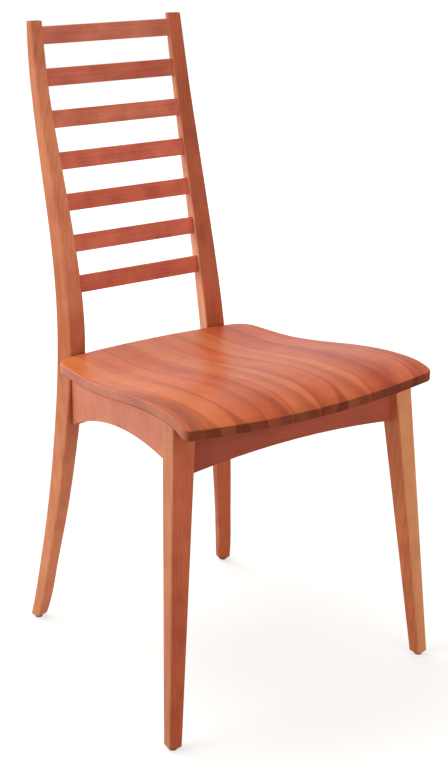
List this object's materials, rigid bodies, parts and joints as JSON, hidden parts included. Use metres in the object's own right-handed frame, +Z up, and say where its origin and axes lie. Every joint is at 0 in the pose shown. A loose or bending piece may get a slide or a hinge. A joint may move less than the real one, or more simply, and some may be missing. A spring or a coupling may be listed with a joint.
{
  "type": "slat back chair",
  "caption": "Wooden dining chair with a raked back of level slats, a shaped seat glued up from staves, arched aprons and splayed, tapered legs.",
  "frame": {"origin": "on the floor, in the middle of the space that the chair takes up", "axes": "+Z up, -Y the way the chair faces, +X to the sitter's left"},
  "size_m": [0.488, 0.55, 0.9545],
  "materials": {
    "frame_wood": "satin lacquer, reddish brown",
    "slat_wood": "satin lacquer, reddish brown",
    "seat_wood": "satin lacquer, reddish brown",
    "block_wood": "lacquered, matt",
    "dowel_wood": "bare",
    "screw_steel": "zinc plated",
    "glide_plastic": "matt grey"
  },
  "bodies": {
    "root": {"left_back_post": "frame_wood", "right_back_post": "frame_wood", "left_front_leg": "frame_wood", "right_front_leg": "frame_wood", "front_apron": "frame_wood", "rear_apron": "frame_wood", "left_side_apron": "frame_wood", "right_side_apron": "frame_wood", "back_slat_1": "slat_wood", "back_slat_2": "slat_wood", "back_slat_3": "slat_wood", "back_slat_4": "slat_wood", "back_slat_5": "slat_wood", "back_slat_6": "slat_wood", "back_slat_7": "slat_wood", "seat_stave_1": "seat_wood", "seat_stave_2": "seat_wood", "seat_stave_3": "seat_wood", "seat_stave_4": "seat_wood", "seat_stave_5": "seat_wood", "seat_stave_6": "seat_wood", "seat_stave_7": "seat_wood", "seat_stave_8": "seat_wood", "seat_stave_9": "seat_wood", "seat_stave_10": "seat_wood", "left_front_corner_block": "block_wood", "right_front_corner_block": "block_wood", "left_rear_corner_block": "block_wood", "right_rear_corner_block": "block_wood", "apron_dowels": "dowel_wood", "corner_block_screws": "screw_steel", "seat_screws": "screw_steel", "glide_nails": "screw_steel", "glide_pads": "glide_plastic"}
  },
  "joints": []
}
